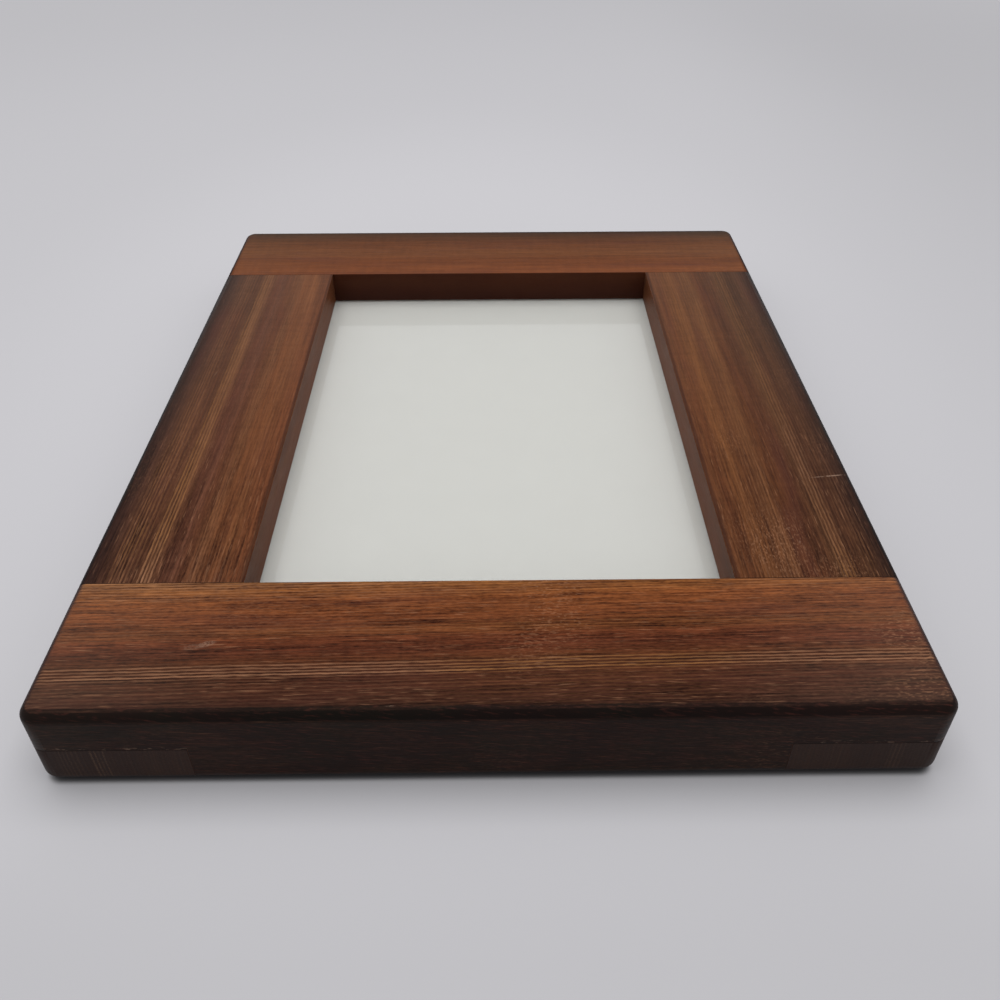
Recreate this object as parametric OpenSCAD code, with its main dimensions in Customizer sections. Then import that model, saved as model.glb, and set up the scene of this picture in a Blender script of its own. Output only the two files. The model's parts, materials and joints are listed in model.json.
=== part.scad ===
// Half-lapped wooden picture frame for a 13 x 18 cm picture, lying on its back.
// The origin is the centre of the back face. +X points to the right of the
// picture, +Y to its top, and +Z out of its front.

/* [Boards] */
// Width of the whole frame
frame_w = 200; // [180:1:260]
// Height of the whole frame
frame_h = 250; // [230:1:320]
// Width of each of the four boards
board_w = 40.5; // [38:0.5:50]
// Thickness of each of the four boards
board_t = 22; // [20:0.5:30]
// Radius of the frame's four corners, seen from the front
corner_r = 4; // [3:0.5:8]
// Radius of the eased outer arrises
edge_r = 2.5; // [1:0.5:3]
// Width of the lip that the glass rests against
lip_w = 6; // [4:0.5:10]
// Depth of the rebate and of the laps, from the back face
rebate_d = 11; // [10.5:0.5:14]

/* [Picture] */
// Gap between each sheet and the wall of the rebate
sheet_gap = 0.5; // [0.3:0.1:1.5]
// Thickness of the glass
glass_t = 2; // [1.5:0.1:3]
// Thickness of the picture card
card_t = 0.4; // [0.2:0.1:1]
// Thickness of the backing board
backing_t = 3; // [2:0.1:4]

/* [Turn buttons] */
// Distance between the two turn buttons of one stile
button_pitch = 100; // [70:1:130]
// Distance from the wall of the rebate to a turn button's pivot
button_inset = 8; // [7:0.5:10]
// Radius of a turn button round its pivot
button_hub_r = 6; // [5:0.5:6.5]
// Radius of a turn button's tip
button_tip_r = 4; // [3:0.5:5]
// Distance from a turn button's pivot to the end of its tip
button_reach = 15; // [13:0.5:16]
// Thickness of a turn button
button_t = 1.5; // [1:0.1:2]
// Gap between a turning button and the wall of its pocket
pocket_gap = 0.6; // [0.4:0.1:1.5]

/* [Screws] */
// Radius of a screw's shank
shank_r = 1.5; // [1.2:0.1:1.8]
// Length of a turn button's screw under its head
button_screw_l = 12; // [10:1:14]
// Length of a hanger screw with its head
hanger_screw_l = 12; // [10:1:14]
// Length of a screw's pointed end
tip_l = 2; // [1:0.5:3]
// Radius of a screw's head
head_r = 2.9; // [2.5:0.1:3.4]
// Height of a round head
head_t = 1.8; // [1.4:0.1:2.2]
// Distance from the frame's back face to a round head
head_sink = 0.7; // [0.3:0.1:1.5]
// Length of each arm of a screw's cross recess, from tip to tip
cross_l = 3.2; // [2.6:0.1:3.6]
// Width of each arm of a screw's cross recess
cross_w = 0.7; // [0.5:0.1:0.9]
// Depth of a screw's cross recess
cross_d = 1; // [0.6:0.1:1.2]
// Running clearance between a turn button's hole and its screw
pivot_gap = 0.08; // [0.03:0.01:0.1]
// Gap between a screw and its hole in the wood
hole_gap = 0.05; // [0.03:0.01:0.1]

/* [Hanger] */
// Length of the hanger plate
plate_l = 44; // [42:1:60]
// Width of the hanger plate
plate_w = 20; // [19:0.5:24]
// Thickness of the hanger plate
plate_t = 1.5; // [1.2:0.1:2]
// Distance from the frame's back face to the hanger plate
plate_sink = 0.2; // [0.1:0.1:0.6]
// Gap between the hanger plate and its mortise
plate_gap = 0.2; // [0.1:0.1:0.5]
// Distance between the two hanger screws
hanger_pitch = 32; // [28:1:33]
// Radius of the round entry for a wall screw's head
entry_r = 4.5; // [4:0.1:5]
// Half the width of the slot for a wall screw's shank
slot_r = 2.3; // [2:0.1:2.6]
// Distance from the entry's centre to the slot's end centre
slot_l = 7; // [6:0.5:8]
// Gap round a wall screw's head in the cavity, beyond the entry
cavity_gap = 0.7; // [0.4:0.1:0.8]
// Depth of the cavity behind the hanger plate
cavity_d = 8; // [6:0.5:10]

/* [Hidden] */
$fn = 96;

// How far a cutting tool runs past the face that it enters
past = 1;

// Opening that the picture is seen through
sight_w = frame_w - 2 * board_w;
sight_h = frame_h - 2 * board_w;

// Rebated recess that the sheets lie in
recess_w = sight_w + 2 * lip_w;
recess_h = sight_h + 2 * lip_w;

// Sheets in the recess
sheet_w = recess_w - 2 * sheet_gap;
sheet_h = recess_h - 2 * sheet_gap;

// Depth from the back face to the backing board, which the button pockets share
pocket_d = head_sink + head_t + button_t;

// The filler takes up the depth that the other sheets leave
filler_t = rebate_d - glass_t - card_t - backing_t - pocket_d;

// Heights of the sheets above the frame's back face
backing_z = pocket_d;
filler_z = backing_z + backing_t;
card_z = filler_z + filler_t;
glass_z = card_z + card_t;

// Turn buttons
button_z = pocket_d - button_t;
pivot_x = recess_w / 2 + button_inset;
pivot_y = button_pitch / 2;
pocket_r = button_reach + pocket_gap;
tip_x = button_reach - button_tip_r;

// Sphere whose cap is a round head
dome_r = (head_r * head_r + head_t * head_t) / (2 * head_t);

// Height of a countersunk head, whose sides slope at 45 degrees
sunk_t = head_r - shank_r;

// Radius of a screw's blunt point
point_r = 0.3;

// Hanger
back_w = board_w - lip_w;
plate_y = recess_h / 2 + back_w / 2;
plate_end_r = plate_w / 2;
entry_y = plate_y - (slot_l + slot_r - entry_r) / 2;
cavity_r = entry_r + cavity_gap;

// Colours
wood = [0.45, 0.27, 0.18];
clear_glass = [0.8, 0.88, 0.86, 0.4];
white_card = [0.85, 0.86, 0.83];
grey_card = [0.62, 0.6, 0.56];
brown_board = [0.5, 0.36, 0.24];
zinc = [0.72, 0.73, 0.74];

// Section of the frame's block, with its four arrises eased
module eased_section(width) {
    translate([-width / 2, edge_r]) square([width, board_t - 2 * edge_r]);
    translate([-width / 2 + edge_r, 0]) square([width - 2 * edge_r, board_t]);
    for (side = [-1, 1], z = [edge_r, board_t - edge_r]) {
        translate([side * (width / 2 - edge_r), z]) circle(r = edge_r);
    }
}

// Half section of one corner of the block
module corner_section() {
    intersection() {
        eased_section(2 * corner_r);
        square([corner_r, board_t]);
    }
}

// The frame's outer form, as if it were one solid board
module eased_block() {
    span_x = frame_w - 2 * corner_r;
    span_y = frame_h - 2 * corner_r;
    translate([-span_x / 2, 0, 0])
        rotate([90, 0, 90])
            linear_extrude(span_x) eased_section(frame_h);
    translate([0, span_y / 2, 0])
        rotate([90, 0, 0])
            linear_extrude(span_y) eased_section(frame_w);
    for (x = [-1, 1], y = [-1, 1]) {
        translate([x * span_x / 2, y * span_y / 2, 0])
            rotate_extrude() corner_section();
    }
}

// Bar with round ends along X, from one end centre to the other
module slot_bar(from_x, to_x, radius, depth) {
    translate([from_x, -radius, 0]) cube([to_x - from_x, 2 * radius, depth]);
    for (x = [from_x, to_x]) {
        translate([x, 0, 0]) cylinder(r = radius, h = depth);
    }
}

// Shank and point of a screw that is driven towards +Z
module screw_shaft(radius, length) {
    cylinder(r = radius, h = length - tip_l);
    translate([0, 0, length - tip_l])
        cylinder(r1 = radius, r2 = point_r, h = tip_l);
}

// Cross recess that opens towards -Z
module cross_recess() {
    for (turn = [0, 90]) {
        rotate([0, 0, turn])
            translate([-cross_l / 2, -cross_w / 2, -past])
                cube([cross_l, cross_w, cross_d + past]);
    }
}

// Round-headed screw, with the underside of its head at z = 0
module round_screw() {
    difference() {
        union() {
            screw_shaft(shank_r, button_screw_l);
            intersection() {
                translate([0, 0, dome_r - head_t]) sphere(r = dome_r);
                translate([0, 0, -head_t]) cylinder(r = head_r, h = head_t);
            }
        }
        translate([0, 0, -head_t]) cross_recess();
    }
}

// Countersunk screw, with the face of its head at z = 0
module sunk_screw() {
    difference() {
        union() {
            screw_shaft(shank_r, hanger_screw_l);
            cylinder(r1 = head_r, r2 = shank_r, h = sunk_t);
        }
        cross_recess();
    }
}

// Turn button with its pivot on the Z axis and its tip towards +X
module button_plate() {
    tangent = acos((button_hub_r - button_tip_r) / tip_x);
    flank = [cos(tangent), sin(tangent)];
    difference() {
        linear_extrude(button_t) union() {
            circle(r = button_hub_r);
            translate([tip_x, 0]) circle(r = button_tip_r);
            polygon([
                [button_hub_r * flank[0], button_hub_r * flank[1]],
                [button_hub_r * flank[0], -button_hub_r * flank[1]],
                [tip_x + button_tip_r * flank[0], -button_tip_r * flank[1]],
                [tip_x + button_tip_r * flank[0], button_tip_r * flank[1]]
            ]);
        }
        translate([0, 0, -past])
            cylinder(r = shank_r + pivot_gap, h = button_t + 2 * past);
    }
}

// Puts its children at one pivot: x is -1 for left and y is -1 for bottom
module at_pivot(x, y) {
    translate([x * pivot_x, y * pivot_y, button_z]) children();
}

// Pocket that a turn button swings in, and its screw's hole
module button_pocket(y) {
    translate([pivot_x, y * pivot_y, -past])
        cylinder(r = pocket_r, h = pocket_d + past);
    at_pivot(1, y) screw_shaft(shank_r + hole_gap, button_screw_l + hole_gap);
}

// Turn button at rest, with its tip over the backing board
module placed_button(x, y) {
    color(zinc) at_pivot(x, y)
        rotate([0, 0, x > 0 ? 180 : 0]) button_plate();
}

// Screw that a turn button pivots on
module placed_screw(x, y) {
    color(zinc) at_pivot(x, y) round_screw();
}

// Rail at the top of the frame, before the hanger is let in
module rail_board() {
    intersection() {
        eased_block();
        union() {
            translate([-frame_w / 2, sight_h / 2, rebate_d])
                cube([frame_w, board_w, board_t - rebate_d]);
            translate([-recess_w / 2, recess_h / 2, 0])
                cube([recess_w, back_w, rebate_d]);
        }
    }
}

// Stile at the right of the frame, with its laps, pockets and screw holes
module stile_board() {
    difference() {
        intersection() {
            eased_block();
            union() {
                translate([sight_w / 2, -sight_h / 2, rebate_d])
                    cube([board_w, sight_h, board_t - rebate_d]);
                translate([recess_w / 2, -frame_h / 2, 0])
                    cube([back_w, frame_h, rebate_d]);
            }
        }
        for (y = [-1, 1]) {
            button_pocket(y);
        }
    }
}

// Mortise, cavity and screw holes that the hanger needs in the rail
module hanger_cut() {
    reach = plate_l / 2 - plate_end_r;
    floor_z = plate_sink + plate_t;
    translate([0, plate_y, -past])
        slot_bar(-reach, reach, plate_end_r + plate_gap, floor_z + past);
    translate([0, entry_y, 0])
        rotate([0, 0, 90]) slot_bar(0, slot_l, cavity_r, floor_z + cavity_d);
    for (side = [-1, 1]) {
        translate([side * hanger_pitch / 2, plate_y, plate_sink])
            screw_shaft(shank_r + hole_gap, hanger_screw_l + hole_gap);
    }
}

// One sheet of the stack, centred in the recess
module sheet(low_z, thickness) {
    translate([-sheet_w / 2, -sheet_h / 2, low_z])
        cube([sheet_w, sheet_h, thickness]);
}

module top_rail() {
    color(wood) difference() {
        rail_board();
        hanger_cut();
    }
}

module bottom_rail() {
    color(wood) mirror([0, 1, 0]) rail_board();
}

module left_stile() {
    color(wood) mirror([1, 0, 0]) stile_board();
}

module right_stile() {
    color(wood) stile_board();
}

module glass_pane() {
    color(clear_glass) sheet(glass_z, glass_t);
}

module picture_card() {
    color(white_card) sheet(card_z, card_t);
}

module filler_card() {
    color(grey_card) sheet(filler_z, filler_t);
}

module backing_board() {
    color(brown_board) sheet(backing_z, backing_t);
}

module turn_button_top_left() {
    placed_button(-1, 1);
}

module turn_button_top_right() {
    placed_button(1, 1);
}

module turn_button_bottom_left() {
    placed_button(-1, -1);
}

module turn_button_bottom_right() {
    placed_button(1, -1);
}

module button_screw_top_left() {
    placed_screw(-1, 1);
}

module button_screw_top_right() {
    placed_screw(1, 1);
}

module button_screw_bottom_left() {
    placed_screw(-1, -1);
}

module button_screw_bottom_right() {
    placed_screw(1, -1);
}

// Plate with round ends, a keyhole and two countersunk holes
module hanger_plate() {
    reach = plate_l / 2 - plate_end_r;
    color(zinc) difference() {
        translate([0, plate_y, plate_sink])
            slot_bar(-reach, reach, plate_end_r, plate_t);
        translate([0, entry_y, 0]) {
            cylinder(r = entry_r, h = plate_sink + plate_t + past);
            rotate([0, 0, 90])
                slot_bar(0, slot_l, slot_r, plate_sink + plate_t + past);
        }
        for (side = [-1, 1]) {
            translate([side * hanger_pitch / 2, plate_y, plate_sink]) {
                cylinder(r = shank_r + hole_gap, h = plate_t + past);
                cylinder(r1 = head_r + hole_gap, r2 = shank_r + hole_gap, h = sunk_t);
            }
        }
    }
}

module hanger_screw_left() {
    color(zinc) translate([-hanger_pitch / 2, plate_y, plate_sink]) sunk_screw();
}

module hanger_screw_right() {
    color(zinc) translate([hanger_pitch / 2, plate_y, plate_sink]) sunk_screw();
}

top_rail();
bottom_rail();
left_stile();
right_stile();
glass_pane();
picture_card();
filler_card();
backing_board();
turn_button_top_left();
turn_button_top_right();
turn_button_bottom_left();
turn_button_bottom_right();
button_screw_top_left();
button_screw_top_right();
button_screw_bottom_left();
button_screw_bottom_right();
hanger_plate();
hanger_screw_left();
hanger_screw_right();
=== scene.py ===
"""Looks of a half-lapped wooden picture frame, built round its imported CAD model.

Lengths are in metres, in the model's own frame: the frame lies on its back with its
front face up, +X to the right of the picture and +Y to its top. The wood's patterns
are in millimetres.
"""

import json
import math
from functools import reduce
from typing import NamedTuple

import bmesh
import bpy
from mathutils import Matrix, Vector


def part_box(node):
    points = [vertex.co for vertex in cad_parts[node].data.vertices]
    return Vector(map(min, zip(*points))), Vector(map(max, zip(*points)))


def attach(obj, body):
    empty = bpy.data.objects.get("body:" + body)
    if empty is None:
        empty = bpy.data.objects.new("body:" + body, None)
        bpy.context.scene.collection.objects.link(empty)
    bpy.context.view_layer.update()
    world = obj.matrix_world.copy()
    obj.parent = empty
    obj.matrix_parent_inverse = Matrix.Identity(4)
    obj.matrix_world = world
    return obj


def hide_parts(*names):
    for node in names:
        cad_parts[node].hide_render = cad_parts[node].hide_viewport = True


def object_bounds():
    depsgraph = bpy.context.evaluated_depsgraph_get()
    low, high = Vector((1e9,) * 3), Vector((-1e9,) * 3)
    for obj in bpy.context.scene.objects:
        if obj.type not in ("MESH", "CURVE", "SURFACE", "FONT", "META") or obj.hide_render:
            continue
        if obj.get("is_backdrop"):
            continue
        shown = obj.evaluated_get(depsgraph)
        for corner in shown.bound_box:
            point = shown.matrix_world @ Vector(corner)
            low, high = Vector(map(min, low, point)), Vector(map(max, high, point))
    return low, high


bl_info = {
    "name": "Wooden picture frame",
    "version": (1, 0, 0),
    "blender": (4, 5, 0),
    "location": "3D View > Sidebar > Picture frame",
    "description": "Builds the finished pieces of a half-lapped wooden picture frame",
    "category": "Object",
}

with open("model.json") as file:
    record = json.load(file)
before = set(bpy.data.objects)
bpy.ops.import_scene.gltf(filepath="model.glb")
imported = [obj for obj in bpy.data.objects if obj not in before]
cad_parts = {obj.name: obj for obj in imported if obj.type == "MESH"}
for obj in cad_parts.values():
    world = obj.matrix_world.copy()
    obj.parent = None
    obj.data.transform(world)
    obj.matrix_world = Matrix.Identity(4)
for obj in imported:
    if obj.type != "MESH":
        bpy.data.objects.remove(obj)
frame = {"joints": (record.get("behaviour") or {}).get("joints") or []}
CAD_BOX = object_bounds()

MM = 0.001
QUARTER = math.pi / 2
BODY = "frame"
FLOOR_DROP = 1.0 * MM
FLOOR_RADIUS = 4.0
CORNERS = ("top_left", "top_right", "bottom_left", "bottom_right")

RAIL_LOW, RAIL_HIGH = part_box("top_rail")
STILE_LOW, STILE_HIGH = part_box("right_stile")
GLASS_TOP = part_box("glass_pane")[1].z
PLATE_LOW, PLATE_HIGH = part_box("hanger_plate")
PLATE_Y = (PLATE_LOW.y + PLATE_HIGH.y) / 2
BUTTON_LOW, BUTTON_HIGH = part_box("turn_button_top_right")
PIVOT = Vector(next(j["pos_m"] for j in frame["joints"] if j["name"] == "turn_top_right"))


def tint(red, green, blue):
    """A colour as it shows on a screen, 0 to 255, as Blender's linear values."""
    return tuple((c / 255 / 12.92) if c < 11 else ((c / 255 + 0.055) / 1.055) ** 2.4
                 for c in (red, green, blue))


def number(name, text, value, **options):
    """A number that a user may change."""
    return bpy.props.FloatProperty(name=name, description=text, default=value, **options)


def length(name, text, value, low=0.0):
    """A length that a user may change, in metres."""
    return number(name, text, value, min=low, unit="LENGTH", precision=5)


def angle(name, text, degrees):
    """An angle that a user may change."""
    return number(name, text, math.radians(degrees), subtype="ANGLE")


def colour(name, text, value):
    """A colour that a user may change."""
    return bpy.props.FloatVectorProperty(
        name=name, description=text, default=value, min=0.0, max=1.0, subtype="COLOR")


class FrameSizes(bpy.types.PropertyGroup):
    """Sizes of the frame's boards and sheets that its looks depend on."""

    width: length("Width", "Width of the whole frame", 2 * STILE_HIGH.x)
    height: length("Height", "Height of the whole frame", 2 * RAIL_HIGH.y)
    thickness: length("Thickness", "Thickness of the boards", RAIL_HIGH.z)
    sight_w: length("Sight width", "Width of the opening over the glass", 2 * STILE_LOW.x)
    sight_h: length("Sight height", "Height of the opening over the glass", 2 * RAIL_LOW.y)
    lap: length("Lap depth", "Depth of the rebate and laps, from the back", GLASS_TOP)
    lip: length("Lip", "Width of the lip over the glass", 6 * MM)
    corner: length("Corner radius", "Radius of the corners seen from the front", 4 * MM)
    arris: length("Arris radius", "Radius of the outer arrises", 2.5 * MM)
    ease: length("Ease", "Width of the bevel on the boards' sharp edges", 0.14 * MM)
    sheet_ease: length("Sheet ease", "Width of the bevel on glass and hardboard", 0.2 * MM)


class HardwareSizes(bpy.types.PropertyGroup):
    """Sizes of the turn buttons, the screws and the hanger."""

    hub: length("Hub radius", "Radius of a turn button round its pivot", 6 * MM)
    tip: length("Tip radius", "Radius of a turn button's tip", 4 * MM)
    reach: length("Reach", "Distance from the pivot to the end of the tip", 15 * MM)
    pocket_gap: length("Pocket gap", "Gap between a button and its pocket", 0.6 * MM)
    shank: length("Shank radius", "Radius of a screw's thread", 1.5 * MM)
    head: length("Head radius", "Radius of a screw's head", 2.9 * MM)
    dome: length("Head height", "Height of a round head", 1.8 * MM)
    screw: length("Screw length", "Length of a screw", 12 * MM)
    point: length("Point length", "Length over which a screw's end tapers", 2.2 * MM)
    pitch: length("Thread pitch", "Distance between a screw's threads", 1.3 * MM)
    hole_gap: length("Hole gap", "Gap between a screw and its hole", 0.05 * MM)
    pivot_gap: length("Pivot gap", "Clearance between a button and its screw", 0.08 * MM)
    plate_gap: length("Plate gap", "Gap between the hanger and its mortise", 0.2 * MM)
    entry: length("Entry radius", "Radius of the hanger's round entry", 4.5 * MM)
    slot: length("Slot half width", "Half the width of the hanger's slot", 2.3 * MM)
    slot_l: length("Slot length", "Distance from the entry's to the slot's centre", 7 * MM)
    cavity_gap: length("Cavity gap", "Gap round a wall screw's head", 0.7 * MM)
    cavity: length("Cavity depth", "Depth behind the hanger plate", 8 * MM)
    spacing: length("Screw spacing", "Distance between the hanger's screws", 32 * MM)
    round_over: length("Edge radius", "Radius of a turn button's edges", 0.25 * MM)
    plate_ease: length("Plate ease", "Width of the bevel on the hanger plate", 0.15 * MM)


class FrameColours(bpy.types.PropertyGroup):
    """Colours of the frame's finishes."""

    gold: colour("Gold grain", "Thin golden lines of the grain", tint(166, 114, 66))
    cream: colour("Cream grain", "Thin paler lines of the grain", tint(172, 124, 92))
    umber: colour("Dark grain", "Dark lines between the pale ones", tint(48, 24, 16))
    plum: colour("Plum grain", "Purplish patches and streaks of the grain", tint(84, 44, 36))
    edge: colour("Edge", "Dark stain on the edges of the frame", tint(28, 16, 13))
    butt: colour("End grain", "Dark stain on the boards' sawn ends", tint(45, 34, 31))
    smoke: colour("Smoky edge", "Greenish patches of the dark stain", tint(25, 19, 14))
    inner: colour("Inner walls", "Dark stain on the rails' walls over the glass", tint(48, 22, 15))
    cheek: colour("Side walls", "Stain on the stiles' walls over the glass", tint(116, 60, 25))
    scuff: colour("Scuff", "Dry pale scuffs in the finish", tint(165, 135, 115))
    glass: colour("Glass", "Tint of the glass", tint(254, 255, 254))
    card: colour("Card", "Blank card behind the glass", tint(208, 206, 203))
    pulp: colour("Pulp board", "Grey filler board", tint(158, 152, 142))
    hardboard: colour("Hardboard", "Brown backing board", tint(112, 78, 50))
    zinc: colour("Zinc", "Zinc plate of the hardware", tint(200, 202, 204))
    floor: colour("Floor", "Pale floor under the frame", tint(202, 201, 205))


class StageSizes(bpy.types.PropertyGroup):
    """Places and strengths of the camera and the lamps."""

    camera_x: length("Camera X", "Camera's place along X", 1.2 * MM, -10.0)
    camera_y: length("Camera Y", "Camera's place along Y", -251.9 * MM, -10.0)
    camera_z: length("Camera Z", "Camera's place along Z", 181.15 * MM)
    yaw: angle("Yaw", "Turn of the camera to the right of +Y", 0.45)
    pitch: angle("Pitch", "Tilt of the camera below the horizon", 38.735)
    roll: angle("Roll", "Turn of the camera about its own axis", -0.19)
    lens: number("Lens", "Focal length on a 36 mm wide sensor", 34.22, unit="CAMERA")
    key: number("Key lamp", "Power of the large lamp overhead", 11.0, unit="POWER")
    under: number("Under lamp", "Power of the lamp that lights the back", 2.5, unit="POWER")
    sky: number("Sky", "Strength of the light from all round, overhead", 0.58)
    horizon: number("Horizon", "Strength of the light from all round, at eye level", 0.16)
    backdrop: number("Backdrop", "Brightness of the backdrop and of the floor far out", 0.9)


class Value:
    """A number that a node gives: each plain sum with it adds a math node."""

    def __init__(self, wires, socket):
        self.wires = wires
        self.socket = socket

    def __add__(self, other):
        return self.wires.math("ADD", self, other)

    def __sub__(self, other):
        return self.wires.math("SUBTRACT", self, other)

    def __rsub__(self, other):
        return self.wires.math("SUBTRACT", other, self)

    def __mul__(self, other):
        return self.wires.math("MULTIPLY", self, other)

    def __truediv__(self, other):
        return self.wires.math("DIVIDE", self, other)

    def __abs__(self):
        return self.wires.math("ABSOLUTE", self)

    def swing(self, amount):
        """A 0 to 1 value as one that swings by amount to either side of 0."""
        return (self - 0.5) * (2 * amount)

    def smooth(self, start, end, low=0.0, high=1.0):
        """low before start, high after end, and a smooth step between them."""
        made = self.wires.node("ShaderNodeMapRange", {
            "Value": self, "From Min": start, "From Max": end, "To Min": low,
            "To Max": high}, interpolation_type="SMOOTHSTEP")
        return Value(self.wires, made.outputs["Result"])


class Wiring:
    """Adds nodes to one node tree and feeds them, a line each."""

    def __init__(self, tree):
        self.tree = tree

    def feed(self, socket, value):
        """Links a node's output to a socket, or sets the socket to a constant."""
        value = getattr(value, "socket", value)
        if isinstance(value, bpy.types.NodeSocket):
            self.tree.links.new(value, socket)
        else:
            socket.default_value = value

    def fill(self, made, inputs):
        """Feeds a node's inputs, each given by its name or its place."""
        for key, value in inputs.items():
            self.feed(made.inputs[key], value)

    def node(self, kind, inputs=None, **settings):
        made = self.tree.nodes.new(kind)
        for key, value in settings.items():
            setattr(made, key, value)
        self.fill(made, inputs or {})
        return made

    def math(self, operation, *values, clamp=False):
        made = self.node("ShaderNodeMath", dict(enumerate(values)), operation=operation,
                         use_clamp=clamp)
        return Value(self, made.outputs[0])

    def largest(self, *values):
        return reduce(lambda first, second: self.math("MAXIMUM", first, second), values)

    def vector(self, operation, *values):
        made = self.node("ShaderNodeVectorMath", dict(enumerate(values)), operation=operation)
        return made.outputs[0]

    def scale(self, vector, factor):
        made = self.node("ShaderNodeVectorMath", {0: vector, "Scale": factor}, operation="SCALE")
        return made.outputs[0]

    def distance(self, vector, middle=(0.0, 0.0, 0.0)):
        made = self.node("ShaderNodeVectorMath", {0: vector, 1: middle}, operation="DISTANCE")
        return Value(self, made.outputs["Value"])

    def noise(self, vector, size, seed=0.0, detail=2.0, roughness=0.5):
        """Noise from 0 to 1 whose lumps are about size long on each axis."""
        scaled = self.vector("MULTIPLY", vector, tuple(1.0 / s for s in size))
        made = self.node("ShaderNodeTexNoise", {
            "Vector": scaled, "W": seed, "Scale": 1.0, "Detail": detail,
            "Roughness": roughness}, noise_dimensions="4D")
        return Value(self, made.outputs["Fac"])

    def mix(self, share, first, second):
        """A share of the second colour over the first."""
        made = self.node("ShaderNodeMix", {0: share}, data_type="RGBA")
        for place, value in ((6, first), (7, second)):
            if not isinstance(value, bpy.types.NodeSocket):
                value = (*value[:3], 1.0)
            self.feed(made.inputs[place], value)
        return made.outputs[2]

    def blend(self, share, first, second):
        """A share of the second shader over the first."""
        made = self.node("ShaderNodeMixShader", {0: share, 1: first, 2: second})
        return made.outputs[0]

    def ramp(self, share, stops):
        """Colours or greys along a 0 to 1 value, from (place, colour) stops."""
        made = self.node("ShaderNodeValToRGB", {0: share})
        bar = made.color_ramp
        while len(bar.elements) < len(stops):
            bar.elements.new(0.5)
        for element, (place, shade) in zip(bar.elements, stops):
            element.position = place
            element.color = (*shade, 1.0) if isinstance(shade, tuple) else (shade,) * 3 + (1.0,)
        return made.outputs[0]

    def split(self, vector):
        made = self.node("ShaderNodeSeparateXYZ", {0: vector})
        return [Value(self, socket) for socket in made.outputs[:3]]

    def join(self, x, y, z):
        return self.node("ShaderNodeCombineXYZ", {0: x, 1: y, 2: z}).outputs[0]

    def spot(self):
        """The point on the piece, in metres."""
        return self.node("ShaderNodeTexCoord").outputs["Object"]

    def place(self, scale=(1 / MM,) * 3, turn=0.0, shift=(0.0, 0.0, 0.0)):
        """The point on the piece, scaled to millimetres or as said, turned and shifted."""
        made = self.node("ShaderNodeMapping", {
            "Vector": self.spot(), "Location": shift, "Rotation": (0.0, 0.0, turn),
            "Scale": scale})
        return made.outputs[0]

    def bump(self, height, depth):
        made = self.node("ShaderNodeBump", {"Height": height, "Distance": depth, "Strength": 1.0})
        return made.outputs[0]


def new_material(name):
    """An empty material with a Principled shader, as (material, wiring, shader)."""
    made = bpy.data.materials.new(name)
    made.use_nodes = True
    made.node_tree.nodes.clear()
    wires = Wiring(made.node_tree)
    shader = wires.node("ShaderNodeBsdfPrincipled")
    wires.node("ShaderNodeOutputMaterial", {"Surface": shader.outputs[0]})
    return made, wires, shader


def cover(wires, surface):
    """Gives a material another shader in place of its plain one."""
    output = next(node for node in wires.tree.nodes if node.type == "OUTPUT_MATERIAL")
    wires.feed(output.inputs["Surface"], surface)


class Board(NamedTuple):
    """How one board lies in the frame, and what its grain and its stain are like."""

    turn: float  # about Z, which puts its grain on X and its outer edge at +Y
    slope: float  # of its grain along the board
    dark_width: float  # of its darkened outer edge, in mm
    rim: float  # width of the black rim along its outer edge, in mm
    painted_sheen: tuple  # painted sheen: how much paler a rail's ends or a stile's top end are painted
    hair: float  # strength of its finest fibres
    worn: float  # how black its arris is at the frame's sides
    wall: tuple  # share of its inner wall's darker colour, at the glass and at the front
    bands: tuple  # of tone across it, as (mm from the sight edge, colour)
    pale_lines: tuple  # how strong they are across it, as (mm from the sight edge, share)
    scuffs: tuple = ()  # as (X and Y of the middle, length, width, turn, strength)
    near_depth: float = 0.0  # how much darker a rail's outer half grows to its left end


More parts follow.
